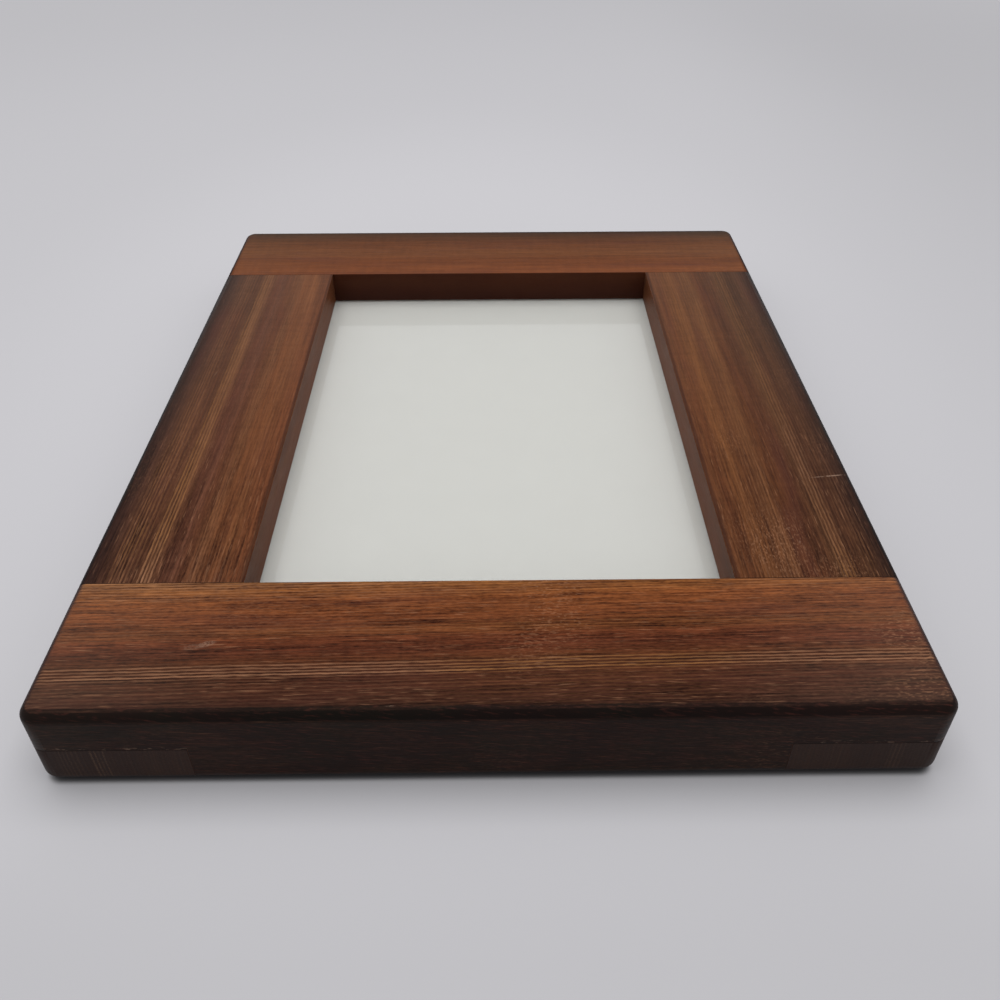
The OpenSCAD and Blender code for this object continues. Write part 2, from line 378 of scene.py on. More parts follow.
BOARDS = {
    "top_rail": Board(
        turn=0.0, slope=0.004, dark_width=3.0, rim=2.7, painted_sheen=(0.003, 0.006, 0.004),
        hair=0.87, worn=0.1, wall=(0.93, 0.75),
        bands=(
            (0, (104, 53, 27)), (3, (115, 62, 31)), (8, (109, 59, 29)), (14, (101, 54, 25)),
            (19, (106, 61, 31)), (24, (101, 57, 29)), (29, (94, 52, 25)), (33, (81, 46, 22)),
            (37, (66, 40, 22)), (40.5, (53, 35, 22))),
        pale_lines=(
            (0, 0.3), (6, 0.1), (13, 0.1), (17, 0.35), (22, 0.3), (25, 0.1), (33, 0.25),
            (40.5, 0.1))),
    "bottom_rail": Board(
        turn=math.pi, slope=-0.022, dark_width=4.5, rim=2.7, painted_sheen=(0.02, 0.016, 0.0125),
        hair=0.87, worn=0.1, wall=(0.93, 0.75), near_depth=0.17,
        bands=(
            (0, (126, 80, 43)), (3, (123, 71, 32)), (7, (112, 60, 28)), (13, (98, 50, 24)),
            (17, (96, 51, 24)), (19, (88, 43, 22)), (22.5, (79, 37, 20)), (26, (80, 41, 20)),
            (31, (67, 34, 19)), (36, (60, 31, 19)), (40.5, (51, 27, 18))),
        pale_lines=(
            (0, 0.45), (4.5, 0.4), (6.5, 0.1), (14, 0.15), (16, 0.25), (19, 0.05), (25.6, 0.1),
            (26.4, 0.8), (29.4, 0.8), (30.2, 0.1), (36, 0.15), (40.5, 0.05)),
        scuffs=(
            (-64.0, -104.5, 5.4, 2.2, 0.35, 0.4), (-67.0, -105.4, 6.0, 2.4, 0.1, 0.16),
            (-21.0, -122.6, 3.0, 0.5, 0.05, 0.5), (16.0, -122.8, 0.9, 0.5, 0.0, 0.4))),
    "left_stile": Board(
        turn=-QUARTER, slope=0.004, dark_width=6.0, rim=1.9, painted_sheen=(0.014, 0.0125, 0.0095),
        hair=0.7, worn=0.3, wall=(0.5, 0.4),
        bands=(
            (0, (84, 47, 28)), (3, (105, 58, 33)), (5.5, (100, 56, 31)), (7.5, (110, 64, 36)),
            (11, (101, 57, 31)), (13, (110, 67, 41)), (16.5, (90, 50, 30)),
            (18.5, (94, 55, 38)), (21, (84, 46, 30)), (24.5, (107, 68, 43)),
            (28, (77, 43, 27)), (31, (88, 53, 35)), (34, (76, 45, 30)), (37, (61, 36, 27)),
            (40.5, (49, 31, 25))),
        pale_lines=(
            (0, 0.24), (4, 0.08), (7, 0.2), (12, 0.08), (13.5, 0.28), (15.5, 0.05),
            (22.8, 0.08), (23.6, 0.65), (26.2, 0.65), (27, 0.08), (30, 0.36), (33.5, 0.32),
            (35, 0.08), (40.5, 0.0)),
        scuffs=((-88.0, 12.0, 5.0, 0.5, 1.4, 0.2),)),
    "right_stile": Board(
        turn=QUARTER, slope=-0.006, dark_width=5.5, rim=1.9, painted_sheen=(0.01, 0.011, 0.0085),
        hair=0.5, worn=0.3, wall=(0.5, 0.4),
        bands=(
            (0, (87, 48, 28)), (3, (98, 56, 30)), (5, (93, 51, 27)), (8.5, (108, 64, 33)),
            (12.5, (94, 54, 29)), (16, (100, 60, 33)), (19, (89, 49, 25)), (24, (80, 44, 25)),
            (27, (84, 51, 29)), (29, (86, 52, 30)), (31.5, (70, 39, 22)), (34, (76, 45, 27)),
            (37, (65, 38, 25)), (40.5, (50, 32, 24))),
        pale_lines=(
            (0, 0.15), (5, 0.06), (9, 0.18), (11, 0.06), (16, 0.24), (18, 0.05), (26.8, 0.06),
            (27.6, 0.4), (30.4, 0.4), (31.2, 0.06), (35, 0.15), (38, 0.06), (40.5, 0.0)),
        scuffs=(
            (94.5, -44.0, 14.0, 0.7, 0.12, 0.6), (77.0, -66.0, 1.2, 0.8, 0.4, 0.35),
            (78.5, -71.5, 1.6, 0.6, 1.2, 0.35))),
}

# The grain is crisp at the frame's near end and soft past the second Y, in mm
CRISP_SPAN = (-88.0, 25.0)

# X about which the rails' pale lines are golden, in mm
GOLD_X = 22.0

# Slope of the streaks on the outer edges, across the grain
STREAK_SLOPE = 0.14


def grain_group():
    """Node group that turns a board's own millimetres into rings, lines and fibres."""
    tree = bpy.data.node_groups.new("straight_grain", "ShaderNodeTree")
    tree.interface.new_socket("Board", in_out="INPUT", socket_type="NodeSocketVector")
    for name in ("Slope", "Seed", "Crisp", "Hair"):
        tree.interface.new_socket(name, in_out="INPUT", socket_type="NodeSocketFloat")
    for name in ("Ring", "Line", "Tone", "Fibre", "Pore"):
        tree.interface.new_socket(name, in_out="OUTPUT", socket_type="NodeSocketFloat")
    wires = Wiring(tree)
    board, *numbers = wires.node("NodeGroupInput").outputs[:5]
    slope, seed, crisp, hair = (Value(wires, socket) for socket in numbers)
    along, across, depth = wires.split(board)

    pith_across, pith_depth, ring_width = 95.0, 6.0, 0.92
    sway = wires.noise(board, (140, 60, 60), seed, 1.0).swing(1.2)
    wobble = wires.noise(board, (22, 9, 9), seed).swing(0.22)
    shifted = across + (along * slope + (sway + wobble))
    from_pith = wires.join(shifted + pith_across, depth - pith_depth, 0.0)
    ring = wires.distance(from_pith) - pith_across

    spread = wires.noise(wires.join(0.0, ring, 0.0), (1, 5, 1), seed, 1.0).swing(0.8)
    ragged = wires.noise(board, (2.6, 0.5, 0.5), seed).swing(0.26)
    count = ring / ring_width + (spread + ragged)
    part = wires.math("FRACT", count)
    rise, fall = part.smooth(0.3, 0.6), part.smooth(0.8, 1.0, 1.0, 0.0)
    ticket = wires.join(wires.math("FLOOR", count), seed, 0.0)
    dice = wires.node("ShaderNodeTexWhiteNoise", {"Vector": ticket}, noise_dimensions="2D")
    vigour = Value(wires, dice.outputs["Value"]).smooth(0.0, 1.0, 0.6, 1.0)
    dashes = wires.noise(board, (5, 0.45, 0.45), seed).smooth(0.36, 0.56, 0.5, 1.0)
    line = rise * fall * (vigour * dashes)

    flat_ring = wires.join(along, ring, 0.0)
    fibre = wires.noise(board, (6.5, 0.32, 0.32), seed, 2.0, 0.6)
    dash = wires.noise(board, (10, 0.55, 0.55), seed, 2.0, 0.6).smooth(0.36, 0.64)
    streak = wires.noise(flat_ring, (28, 1.0, 1), seed, 2.0, 0.6).smooth(0.34, 0.66)
    speck = wires.noise(board, (1.2, 0.34, 0.34), seed, 1.0)
    broad = wires.noise(flat_ring, (110, 2.0, 1), seed)
    shimmer = wires.noise(board, (2.2, 11, 11), seed, 1.0)
    tone = ((dash.swing(0.19) + streak.swing(0.15)) * crisp
            + (fibre.swing(0.9) + speck.swing(0.65)) * hair
            + broad.swing(0.36) + streak.swing(0.08) + shimmer.swing(0.16))
    pore = wires.noise(board, (4.5, 0.3, 0.3), seed, 1.0).smooth(0.68, 0.8)
    wires.node("NodeGroupOutput", {
        "Ring": ring, "Line": line, "Tone": tone, "Fibre": fibre, "Pore": pore})
    return tree


class BoardWood:
    """Reddish straight-grained wood for one board, stained dark on its edges.

    Its patterns lie on the board's own axes, in mm: along the grain, across it from the
    sight edge outwards, and in depth up from the back.
    """

    def __init__(self, name, group, sizes, colours, seed):
        self.board, self.is_rail = BOARDS[name], "rail" in name
        self.colours, self.seed = colours, seed
        self.width = (sizes.width - sizes.sight_w) / 2 / MM
        self.half_length = sizes.width / 2 / MM
        self.lap, self.top = sizes.lap / MM, sizes.thickness / MM
        half_sight = (sizes.sight_h if self.is_rail else sizes.sight_w) / 2 / MM
        self.material, self.wires, self.shader = new_material(name + "_wood")
        self.own = self.wires.place(turn=self.board.turn, shift=(0.0, -half_sight, 0.0))
        self.along, self.across, self.depth = self.wires.split(self.own)
        self.world_x, self.world_y, _ = self.wires.split(self.wires.place())
        self.read_grain(group)
        self.read_faces()

    def read_grain(self, group):
        """Rings, lines and fibres, which are crisper at the frame's near end."""
        wires = self.wires
        self.crisp = self.world_y.smooth(*CRISP_SPAN, 1.15, 0.25)
        hair = wires.largest(self.crisp * self.crisp * self.board.hair, 0.3)
        grain = wires.node("ShaderNodeGroup", {
            "Board": self.own, "Slope": self.board.slope, "Seed": self.seed,
            "Crisp": self.crisp, "Hair": hair}, node_tree=group)
        ring, self.line, self.tone, self.fibre, self.pore = (
            Value(wires, socket) for socket in grain.outputs)
        self.share = ring / self.width
        self.pale = Value(wires, self.ramp(self.board.pale_lines))

    def read_faces(self):
        """Which way each face points, and how far it is from the outer edge."""
        wires, outer_strip = self.wires, 4.0
        normal = wires.node("ShaderNodeTexCoord").outputs["Normal"]
        facing_x, facing_y, self.facing_z = wires.split(wires.vector("ABSOLUTE", normal))
        self.inward = self.width - self.across
        self.upright = self.facing_z.smooth(0.9, 0.99, 1.0, 0.0)
        self.outside = wires.math("LESS_THAN", self.inward, outer_strip)
        self.end_cut = facing_x.smooth(0.5, 0.9) if self.is_rail else facing_y.smooth(0.3, 0.6)

    def finish(self):
        """The material, with each step of the finish over the one before."""
        wires = self.wires
        shade = self.oiled_with_painted_sheen()
        for step in (self.lined, self.scuffed, self.stained, self.walled):
            shade = step(shade)
        relief = self.fibre * 0.8 + self.line * 0.5 - self.pore * 0.8
        wires.fill(self.shader, {
            "Base Color": shade, "Roughness": self.fibre.swing(0.16) + 0.46,
            "Specular IOR Level": 0.08, "Normal": wires.bump(relief, 0.03 * MM)})
        return self.material

    def ramp(self, stops):
        """Colours or shares across the board, from (mm from the sight edge, value)."""
        return self.wires.ramp(self.share, [(mm / self.width, shade) for mm, shade in stops])

    def noise(self, size, detail=2.0, offset=0.0):
        return self.wires.noise(self.own, size, self.seed + offset, detail)

    def oiled_with_painted_sheen(self):
        """Bands of tone under the oil, with a painted sheen, paler towards a rail's ends and a
        stile's top end.
        """
        wires, board = self.wires, self.board
        bands = self.ramp([(mm, tint(*shade)) for mm, shade in board.bands])
        tone = self.tone - self.pore * 0.3
        deepen = wires.vector("MULTIPLY_ADD", tone, (1.0, 1.15, 1.3), (1.0, 1.0, 1.0))
        body = wires.vector("MULTIPLY", bands, deepen)
        if self.is_rail:
            sunk = (self.world_x.smooth(-70.0, 30.0, 1.0, 0.0)
                    * self.share.smooth(0.45, 0.65, 0.0, board.near_depth))
            body = wires.scale(body, 1.0 - sunk)
            sheen_share = abs(self.world_x).smooth(45.0, 100.0)
        else:
            # Painted sheen: the stiles are painted darker towards their bottom end and paler
            # towards their top end
            body = wires.scale(body, self.world_y.smooth(-84.0, 0.0, 0.74, 0.96))
            sheen_share = self.world_y.smooth(-70.0, 84.0)
        # Adds the painted sheen, paler at a rail's ends and a stile's top end
        return wires.vector("MULTIPLY_ADD", sheen_share, board.painted_sheen, body)

    def lined(self, body):
        """Purplish patches, dark and pale lines of grain, and pale flecks."""
        wires, colours = self.wires, self.colours
        plum = self.noise((45, 6, 6), offset=1.0).smooth(0.5, 0.75, 0.0, 0.3)
        body = wires.mix(plum, body, colours.plum)
        gaps = (1.0 - self.line) * (self.pale * (self.crisp * 0.5))
        body = wires.mix(gaps, body, colours.umber)
        cast = (abs(self.world_x - GOLD_X).smooth(20.0, 45.0) if self.is_rail
                else self.noise((50, 50, 50), 1.0).smooth(0.4, 0.6))
        gold = wires.mix(cast, colours.gold, colours.cream)
        body = wires.mix(self.line * self.pale * (self.crisp * 0.6 + 0.1), body, gold)
        fleck = self.noise((4.5, 0.3, 0.3), 1.0, 5.0).smooth(0.6, 0.78, 0.0, 0.3)
        rough = (self.noise((32, 26, 26), 1.0, 4.0).smooth(0.48, 0.66, 0.0, 0.32)
                 * self.world_x.smooth(-30.0, 40.0, 0.35, 1.0))
        grit = self.noise((1.1, 0.4, 0.4), 1.0, 6.0).smooth(0.52, 0.7)
        return wires.mix(wires.largest(fleck, rough * grit) * self.crisp, body, colours.cream)

    def scuffed(self, body):
        """Small pale scuffs, broken up by the grain of the finish."""
        wires = self.wires
        if not self.board.scuffs:
            return body
        plain = wires.place()
        broken = wires.noise(plain, (0.8,) * 3, self.seed, 3.0, 0.7).smooth(0.35, 0.6)
        marks = []
        for x, y, long, wide, turn, strength in self.board.scuffs:
            spot = wires.node("ShaderNodeMapping", {
                "Vector": plain, "Location": (x, y, 0.0), "Rotation": (0.0, 0.0, turn),
                "Scale": (long / 2, wide / 2, 1000.0)}, vector_type="TEXTURE")
            reach = wires.distance(spot.outputs[0])
            marks.append(reach.smooth(0.4, 1.0, strength, 0.0))
        return wires.mix(wires.largest(*marks) * broken, body, self.colours.scuff)

    def stained(self, body):
        """Dark stain on the outer edges, the arrises and the sawn ends."""
        wires = self.wires
        if not self.is_rail:
            # A dark line on the top face along the sight edge
            sight_edge_line = self.across.smooth(0.0, 0.3) * self.across.smooth(0.6, 1.4, 0.6, 0.0)
            body = wires.mix(sight_edge_line, body, self.colours.umber)
        fray = self.noise((20, 1.5, 1.5), 3.0).swing(1.6)
        outer = (self.inward + fray).smooth(1.5, self.board.dark_width, 0.5, 0.0)
        nibble = self.noise((4, 4, 4), 3.0).swing(0.5)
        rim = self.board.rim
        line = (self.inward + nibble).smooth(rim - 0.4, rim, 1.0, 0.0)
        if self.is_rail:
            to_end = self.half_length - abs(self.along)
            outer = wires.largest(outer, to_end.smooth(0.5, 3.0, 0.5, 0.0))
            line = wires.largest(line, (to_end + nibble).smooth(1.2, 1.6, 1.0, 0.0))
        dark = wires.largest(outer, self.upright * self.outside, self.end_cut, line)
        turning = self.facing_z.smooth(0.1, 0.35) * self.upright
        hazy = wires.place(scale=(0.12 / MM, 0.12 / MM, 1.1 / MM))
        haze = wires.noise(hazy, (1, 1, 1), self.seed, 3.0).swing(-0.12)
        stain = wires.math("ADD", self.tone * -0.22 + 0.84, haze, clamp=True)
        stain = wires.largest(stain, self.end_cut * 0.9, turning)
        return wires.mix(dark, body, wires.mix(stain, body, self.black(turning)))

    def black(self, turning):
        """Colour of the dark stain, blackest on the arrises that are turning."""
        wires, colours = self.wires, self.colours
        cloud = self.noise((26, 26, 11)).smooth(0.4, 0.62)
        black = wires.mix(cloud, colours.edge, colours.smoke)
        rising = self.along * -STREAK_SLOPE + self.depth
        slanted = wires.join(self.along, self.across, rising)
        streaks = wires.noise(slanted, (4.5, 0.5, 0.32), self.seed, 2.0, 0.6).smooth(0.52, 0.74)
        black = wires.mix(streaks * 0.5, black, colours.plum)
        black = wires.mix(self.end_cut, black, colours.butt)
        lines = self.line * self.pale
        black = wires.mix(lines * lines * self.end_cut * 0.2, black, colours.scuff)
        worn = abs(self.world_x).smooth(40.0, 90.0, 0.42, self.board.worn)
        black = wires.mix(turning * worn, black, (0.0, 0.0, 0.0))
        if self.is_rail:
            seam = (self.depth.smooth(self.lap - 0.1, self.lap + 0.1)
                    * self.depth.smooth(self.lap + 0.7, self.lap + 1.2, 1.0, 0.0))
            chips = self.noise((1.5, 1.0, 0.5)).smooth(0.54, 0.66) * seam
            lapped = abs(self.along).smooth(62.0, 68.0)
            black = wires.mix(chips * lapped * 0.28, black, colours.scuff)
        return black

    def walled(self, body):
        """Darker colour on the wall over the glass."""
        wires, colours = self.wires, self.colours
        inside = wires.math("SUBTRACT", self.upright - self.outside, self.end_cut, clamp=True)
        wall = colours.inner
        if not self.is_rail:
            wall = wires.mix(self.world_y.smooth(70.0, 84.0, 0.0, 0.7), colours.cheek, wall)
        under_arris = self.depth.smooth(self.top - 5.0, self.top - 2.5, 0.0, 0.35)
        wall = wires.mix(under_arris, wall, colours.umber)
        share = inside * self.depth.smooth(self.lap, self.top, *self.board.wall)
        return wires.mix(share, body, wall)


def glass_material(colours):
    """Clear float glass that lets the lamps reach the card behind it."""
    made, wires, shader = new_material("clear_glass")
    smear = wires.noise(wires.place(), (22, 22, 22), 3.0, 3.0)
    wires.fill(shader, {
        "Base Color": (*colours.glass, 1.0), "Transmission Weight": 1.0, "IOR": 1.5,
        "Roughness": smear.smooth(0.3, 0.8, 0.05, 0.09)})
    clear = wires.node("ShaderNodeBsdfTransparent", {"Color": (*colours.glass, 1.0)})
    path = wires.node("ShaderNodeLightPath").outputs
    lit = wires.largest(path["Is Shadow Ray"], path["Is Diffuse Ray"])
    cover(wires, wires.blend(lit, shader.outputs[0], clear.outputs[0]))
    return made


def sheet_material(name, base, grain_mm, contrast, roughness, depth):
    """Card, pulp board or hardboard: fine flecks of fibre over one colour."""
    made, wires, shader = new_material(name)
    own = wires.place()
    fleck = wires.noise(own, (grain_mm,) * 3, 1.0, 4.0, 0.7)
    cloud = wires.noise(own, (grain_mm * 30,) * 3, 2.0)
    tone = fleck.swing(contrast) + 1.0 + cloud.swing(contrast * 0.5)
    wires.fill(shader, {
        "Base Color": wires.scale((*base,), tone), "Specular IOR Level": 0.3,
        "Roughness": fleck.swing(0.1) + roughness, "Normal": wires.bump(fleck, depth)})
    return made


def zinc_material(colours):
    """Zinc-plated steel with a faint spangle, drawn scratches and dull patches."""
    made, wires, shader = new_material("zinc_steel")
    own = wires.place()
    spangle = wires.noise(own, (1.6, 1.6, 1.6), 1.0, 3.0)
    scratch = wires.noise(own, (7.0, 0.12, 0.5), 2.0)
    patch = wires.noise(own, (9.0, 9.0, 9.0), 3.0)
    tone = spangle.swing(0.1) + 1.0 + patch.swing(0.1)
    rough = patch.swing(0.12) + 0.34 + scratch.swing(0.08)
    wires.fill(shader, {
        "Base Color": wires.scale((*colours.zinc,), tone), "Metallic": 1.0,
        "Roughness": rough, "Normal": wires.bump(scratch, 0.01 * MM)})
    return made


def link(name, data):
    """A new object for a mesh, a lamp or a camera, at the origin."""
    made = bpy.data.objects.new(name, data)
    bpy.context.scene.collection.objects.link(made)
    return made


def from_bmesh(name, bm):
    """A new object from a bmesh, with its normals outwards."""
    bmesh.ops.recalc_face_normals(bm, faces=bm.faces)
    mesh = bpy.data.meshes.new(name)
    bm.to_mesh(mesh)
    bm.free()
    return link(name, mesh)


def box_object(name, corner, opposite):
    """A plain box between two opposite corners."""
    bm = bmesh.new()
    low, high = (Vector([pick(ends) for ends in zip(corner, opposite)]) for pick in (min, max))
    place = Matrix.Translation((low + high) / 2) @ Matrix.Diagonal((*(high - low), 1.0))
    bmesh.ops.create_cube(bm, size=1.0, matrix=place)
    return from_bmesh(name, bm)


def cone_object(middle, low_r, high_r, low_z, high_z, segments):
    """An upright cone or cylinder between two heights, for cutting with."""
    bm = bmesh.new()
    place = Matrix.Translation((middle[0], middle[1], (low_z + high_z) / 2))
    bmesh.ops.create_cone(bm, cap_ends=True, segments=segments, radius1=low_r,
                          radius2=high_r, depth=high_z - low_z, matrix=place)
    return from_bmesh("cutter", bm)


def arc(middle, radius, start, end, steps):
    """Points on an arc about (x, y), from one angle to another in radians."""
    return [(middle[0] + radius * math.cos(start + (end - start) * i / steps),
             middle[1] + radius * math.sin(start + (end - start) * i / steps))
            for i in range(steps + 1)]


def prism_object(name, outline, low_z, high_z):
    """An upright solid whose plan is one closed outline."""
    bm = bmesh.new()
    floor = bm.faces.new([bm.verts.new((x, y, low_z)) for x, y in outline])
    raised = bmesh.ops.extrude_face_region(bm, geom=[floor])
    verts = [v for v in raised["geom"] if isinstance(v, bmesh.types.BMVert)]
    bmesh.ops.translate(bm, verts=verts, vec=(0.0, 0.0, high_z - low_z))
    return from_bmesh(name, bm)


def skin(bm, rows):
    """Closes a solid over rows of points, each row a ring, in a bmesh."""
    rings = [[bm.verts.new(point) for point in row] for row in rows]
    for first, second in zip(rings, rings[1:]):
        for i in range(len(first)):
            bm.faces.new((first[i - 1], first[i], second[i], second[i - 1]))
    bm.faces.new(rings[0][::-1])
    bm.faces.new(rings[-1])


def apply_modifiers(made):
    """Turns what an object's modifiers show into its own plain mesh."""
    shown = made.evaluated_get(bpy.context.evaluated_depsgraph_get())
    mesh = bpy.data.meshes.new_from_object(shown)
    mesh.name = made.name
    made.modifiers.clear()
    old, made.data = made.data, mesh
    bpy.data.meshes.remove(old)
    return made


def cut(made, cutters):
    """Takes each cutter out of an object, and the cutters out of the scene."""
    for cutter in cutters:
        modifier = made.modifiers.new("cut", "BOOLEAN")
        modifier.solver = "EXACT"
        modifier.object = cutter
    apply_modifiers(made)
    for cutter in cutters:
        bpy.data.meshes.remove(cutter.data)
    return made


def soften(made, width, segments=2, sharp=30.0):
    """Bevels the edges of sharp degrees or more, and smooths the faces square to no axis."""
    modifier = made.modifiers.new("ease", "BEVEL")
    modifier.width = width
    modifier.segments = segments
    modifier.limit_method = "ANGLE"
    modifier.angle_limit = math.radians(sharp)
    modifier.use_clamp_overlap = False
    apply_modifiers(made)
    made.data.set_sharp_from_angle(angle=math.radians(50))
    square = 0.9999
    for polygon in made.data.polygons:
        polygon.use_smooth = max(abs(part) for part in polygon.normal) < square
    return made


def dress(made, material, body, slot, *nodes):
    """Gives a finished piece its material and body, and hides the model's parts that it stands
    for. The slot is not used.
    """
    made.data.materials.clear()
    made.data.materials.append(material)
    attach(made, body)
    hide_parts(*nodes)


def eased_block(name, sizes):
    """The frame's outer form as one block, with round corners and eased arrises."""
    bm = bmesh.new()
    place = Matrix.Translation((0.0, 0.0, sizes.thickness / 2)) @ Matrix.Diagonal(
        (sizes.width, sizes.height, sizes.thickness, 1.0))
    bmesh.ops.create_cube(bm, size=1.0, matrix=place)
    for upright, radius, segments in ((True, sizes.corner, 10), (False, sizes.arris, 8)):
        edges = [e for e in bm.edges
                 if (abs(e.verts[0].co.z - e.verts[1].co.z) > MM) == upright]
        bmesh.ops.bevel(bm, geom=edges, offset=radius, offset_type="OFFSET",
                        segments=segments, profile=0.5, affect="EDGES")
    return from_bmesh(name, bm)


def lap_cutters(sizes, is_rail, side):
    """Boxes that leave one board of the frame's block: side is 1 for the top and right.

    The spans are from the frame's middle, as (along the board, across it, up).
    """
    half_w, half_h, lap = sizes.sight_w / 2, sizes.sight_h / 2, sizes.lap
    if is_rail:
        far, wall, shoulder = sizes.width, half_h, half_w + sizes.lip
        low, high = -far, lap
    else:
        far, wall, shoulder = sizes.height, half_w, half_h
        low, high = lap, far
    spans = (((-far, -far, -far), (far, wall, far)),
             ((-far, 0.0, -far), (far, wall + sizes.lip, lap)),
             ((shoulder, 0.0, low), (far, far, high)),
             ((-far, 0.0, low), (-shoulder, far, high)))
    for span in spans:
        corners = [(along, side * across, z) if is_rail else (side * across, along, z)
                   for along, across, z in span]
        yield box_object("cutter", *corners)


def screw_hole(parts, x, y, head_z):
    """Cutter for the hole in the wood of a screw whose head starts at head_z."""
    hole = parts.shank + parts.hole_gap
    return cone_object((x, y), hole, hole, 0.0, head_z + parts.screw, 32)


def pocket_cutters(parts, side):
    """Round pockets and screw holes for the two turn buttons of a stile."""
    radius = parts.reach + parts.pocket_gap
    for y in (-PIVOT.y, PIVOT.y):
        yield cone_object((side * PIVOT.x, y), radius, radius, -MM, BUTTON_HIGH.z, 128)
        yield screw_hole(parts, side * PIVOT.x, y, BUTTON_LOW.z)


def stadium(grow):
    """Outline of the hanger plate, grown by a gap."""
    radius = (PLATE_HIGH.y - PLATE_LOW.y) / 2
    reach = PLATE_HIGH.x - radius
    return (arc((reach, PLATE_Y), radius + grow, -QUARTER, QUARTER, 24)
            + arc((-reach, PLATE_Y), radius + grow, QUARTER, 3 * QUARTER, 24))


def keyhole_y(parts):
    """Y of the hanger's round entry, which centres the keyhole on the plate."""
    return PLATE_Y - (parts.slot_l + parts.slot - parts.entry) / 2


def hanger_cutters(parts):
    """Mortise, cavity and screw holes for the hanger in the top rail."""
    yield prism_object("cutter", stadium(parts.plate_gap), -MM, PLATE_HIGH.z)
    low, radius = keyhole_y(parts), parts.entry + parts.cavity_gap
    outline = (arc((0.0, low), radius, math.pi, 2 * math.pi, 24)
               + arc((0.0, low + parts.slot_l), radius, 0.0, math.pi, 24))
    yield prism_object("cutter", outline, 0.0, PLATE_HIGH.z + parts.cavity)
    for x in (-parts.spacing / 2, parts.spacing / 2):
        yield screw_hole(parts, x, PLATE_Y, PLATE_LOW.z)


class FRAME_OT_boards(bpy.types.Operator):
    """Makes the two rails and the two stiles, with their laps, pockets and grain"""

    bl_idname = "picture_frame.boards"
    bl_label = "Boards"

    def execute(self, context):
        sizes, parts = context.scene.frame_sizes, context.scene.hardware_sizes
        group = grain_group()
        for i, name in enumerate(BOARDS):
            is_rail = "rail" in name
            side = 1 if name in ("top_rail", "right_stile") else -1
            cutters = list(lap_cutters(sizes, is_rail, side))
            if not is_rail:
                cutters += pocket_cutters(parts, side)
            if name == "top_rail":
                cutters += hanger_cutters(parts)
            made = soften(cut(eased_block(name + "_wood", sizes), cutters), sizes.ease)
            seed = 7.3 * i + 2.0
            wood = BoardWood(name, group, sizes, context.scene.frame_colours, seed)
            dress(made, wood.finish(), BODY, "frame_wood", name)
        return {"FINISHED"}


class FRAME_OT_sheets(bpy.types.Operator):
    """Makes the glass, the blank card, the filler and the backing board"""

    bl_idname = "picture_frame.sheets"
    bl_label = "Glass and boards"

    def execute(self, context):
        sizes, colours = context.scene.frame_sizes, context.scene.frame_colours
        ease = sizes.sheet_ease
        sheets = (
            ("glass", "glass_pane", "clear_glass", ease, glass_material(colours)),
            ("blank_card", "picture_card", "white_card", 0.05 * MM,
             sheet_material("white_card", colours.card, 0.35, 0.025, 0.8, 0.01 * MM)),
            ("filler_board", "filler_card", "grey_board", 0.1 * MM,
             sheet_material("grey_board", colours.pulp, 0.6, 0.22, 0.9, 0.03 * MM)),
            ("hardboard_back", "backing_board", "hardboard", ease,
             sheet_material("hardboard", colours.hardboard, 0.5, 0.3, 0.5, 0.02 * MM)),
        )
        for piece, node, slot, bevel, material in sheets:
            made = soften(box_object(piece, *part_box(node)), bevel)
            dress(made, material, BODY, slot, node)
        return {"FINISHED"}


def copies_tree():
    """Geometry Nodes that put a copy of an object on each point, turned as the point says."""
    tree = bpy.data.node_groups.new("copies_on_points", "GeometryNodeTree")
    for name, way, kind in (("Points", "INPUT", "Geometry"), ("Copy", "INPUT", "Object"),
                            ("Finish", "INPUT", "Material"), ("Copies", "OUTPUT", "Geometry")):
        tree.interface.new_socket(name, in_out=way, socket_type="NodeSocket" + kind)
    wires = Wiring(tree)
    points, copy, finish = wires.node("NodeGroupInput").outputs[:3]
    info = wires.node("GeometryNodeObjectInfo", {"Object": copy})
    turn = wires.node("GeometryNodeInputNamedAttribute", {"Name": "turn"},
                      data_type="FLOAT_VECTOR")
    spread = wires.node("GeometryNodeInstanceOnPoints", {
        "Points": points, "Instance": info.outputs["Geometry"],
        "Rotation": turn.outputs["Attribute"]})
    real = wires.node("GeometryNodeRealizeInstances", {0: spread.outputs[0]})
    dressed = wires.node("GeometryNodeSetMaterial", {
        "Geometry": real.outputs[0], "Material": finish})
    wires.node("NodeGroupOutput", {0: dressed.outputs[0]})
    return tree


def place_copies(pattern, material, pieces):
    """A zinc piece for each (node, body, point, turn about Z), and an end to the pattern."""
    tree = bpy.data.node_groups.get("copies_on_points") or copies_tree()
    sockets = {item.name: item.identifier for item in tree.interface.items_tree}
    for node, body, point, turn in pieces:
        mesh = bpy.data.meshes.new(node + "_zinc")
        mesh.from_pydata([point], [], [])
        mesh.attributes.new("turn", "FLOAT_VECTOR", "POINT").data[0].vector = (0.0, 0.0, turn)
        made = link(node + "_zinc", mesh)
        modifier = made.modifiers.new("copies", "NODES")
        modifier.node_group = tree
        modifier[sockets["Copy"]] = pattern
        modifier[sockets["Finish"]] = material
        dress(apply_modifiers(made), material, body, "zinc_steel", node)
    bpy.data.objects.remove(pattern)


